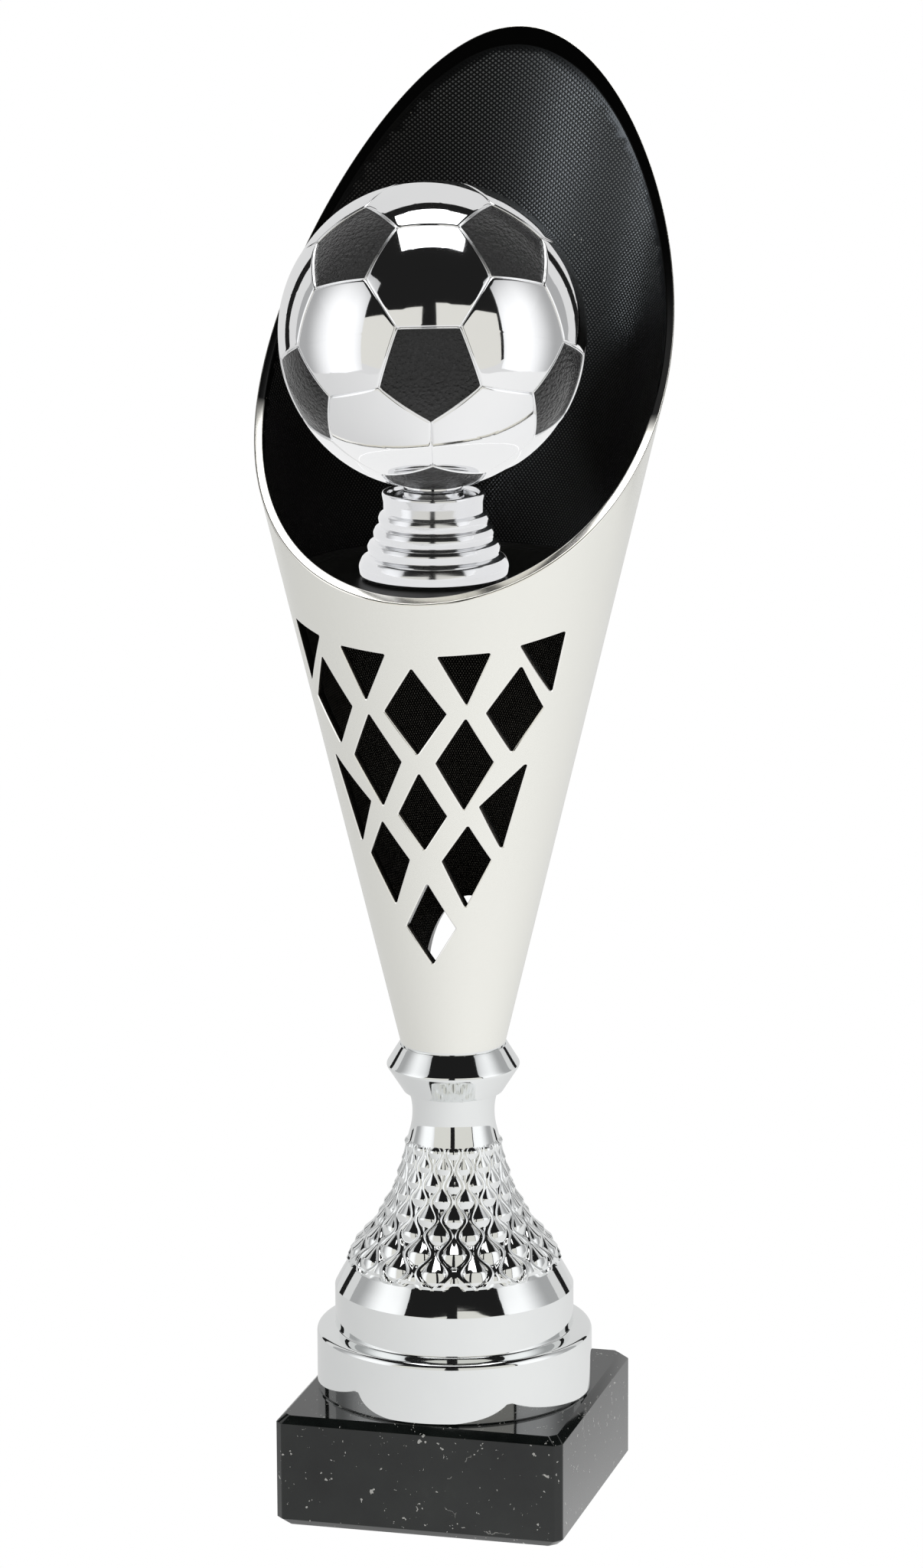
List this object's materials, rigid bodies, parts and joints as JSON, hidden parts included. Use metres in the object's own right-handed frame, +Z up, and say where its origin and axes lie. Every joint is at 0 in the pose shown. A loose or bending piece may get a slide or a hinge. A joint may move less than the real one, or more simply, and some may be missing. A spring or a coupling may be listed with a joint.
{
  "type": "figure trophy",
  "caption": "Football trophy: a chrome ball on a stepped stand in a slanted, lattice-pierced metallised bowl, on a waisted chrome pedestal and a square marble block.",
  "frame": {"origin": "centre of the underside of the overall bounding box; the block, rod, pedestal and bowl share an upright axis 16.4 mm in front of it, at Y = -0.0164", "axes": "+Z up along the tie rod, -Y towards the low front rim and the lattice, +X to the viewer's right when facing the lattice"},
  "size_m": [0.1119, 0.1238, 0.3948],
  "materials": {
    "black_marble": "polished black marble with fine white flecks",
    "chromed_plastic": "mirror chrome plating on moulded plastic",
    "satin_metallised_plastic": "pearl silver metallised outside, bare black inside",
    "black_gloss_plastic": "glossy black moulding",
    "black_grained_plastic": "black with a pebbled grain",
    "zinc_steel": "zinc plated"
  },
  "bodies": {
    "root": {"marble_block": "black_marble", "base_washer": "zinc_steel", "base_nut": "zinc_steel", "tie_rod": "zinc_steel", "pedestal": "chromed_plastic", "bowl": "satin_metallised_plastic", "bowl_washer": "zinc_steel", "bowl_nut": "zinc_steel", "bowl_floor": "black_gloss_plastic", "ball_stand": "chromed_plastic", "ball": "chromed_plastic", "ball_patches": "black_grained_plastic", "screw_washer": "zinc_steel", "ball_screw": "zinc_steel"}
  },
  "joints": []
}
